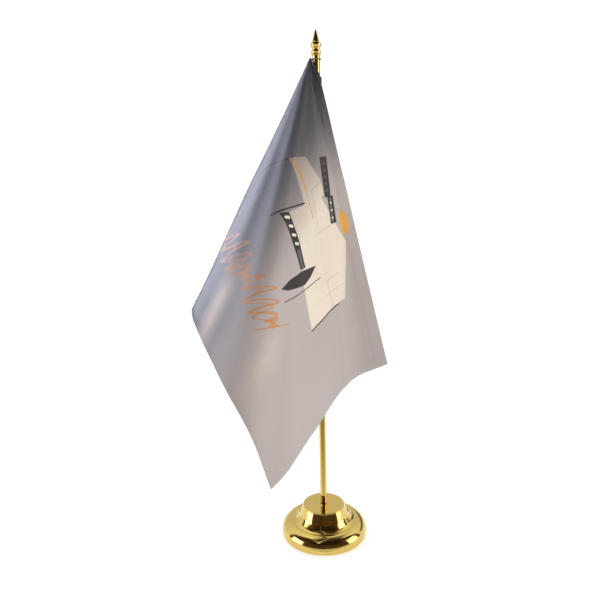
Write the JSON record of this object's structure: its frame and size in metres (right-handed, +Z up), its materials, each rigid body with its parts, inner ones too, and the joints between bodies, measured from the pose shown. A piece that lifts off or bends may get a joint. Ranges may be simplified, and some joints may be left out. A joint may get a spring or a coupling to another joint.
{
  "type": "flag pole stand",
  "caption": "Table flag hung in one open fold on a slim gold pole with a turned spear finial, screwed into a weighted two-tier round foot.",
  "frame": {"origin": "centre of the foot, on the surface that the stand rests on", "axes": "+Z up along the pole; -Y is the front, where the flag's broad face looks; +X to the right of somebody facing the front"},
  "size_m": [0.1276, 0.1339, 0.35],
  "materials": {
    "polished_gold": "mirror polished, brass-plated steel, lacquered",
    "steel": "zinc-plated steel",
    "cast_iron": "rough cast, black oxide",
    "felt": "dark green pressed wool felt",
    "fibre": "vulcanised fibre",
    "flag_cloth": "satin polyester, dye printed",
    "thread": "polyester thread and cord"
  },
  "bodies": {
    "stand": {"base_shell": "polished_gold", "pole_socket": "steel", "socket_gasket": "fibre", "ballast_weight": "cast_iron", "ballast_washer": "steel", "ballast_nut": "steel", "bottom_plate": "steel", "centre_screw": "steel", "screw_washer": "steel", "felt_pad": "felt"},
    "pole": {"pole_tube": "polished_gold", "pole_stud": "steel", "pole_top_bush": "steel"},
    "finial": {"finial_collar": "polished_gold", "finial_body": "polished_gold", "finial_stud": "steel"},
    "flag": {"flag_cloth": "flag_cloth", "pole_sleeve": "flag_cloth", "sleeve_stitching": "thread", "hanging_loop": "thread"}
  },
  "joints": [
    {"name": "pole_lift", "type": "slide", "parent": "stand", "child": "pole", "axis": [0, 0, 1], "range_m": [0, 0.03]},
    {"name": "finial_lift", "type": "slide", "parent": "pole", "child": "finial", "axis": [0, 0, 1], "range_m": [0, 0.012]},
    {"name": "flag_swivel", "type": "hinge", "parent": "pole", "child": "flag", "pos_m": [0, 0, 0.333], "axis": [0, 0, 1], "continuous": true}
  ]
}
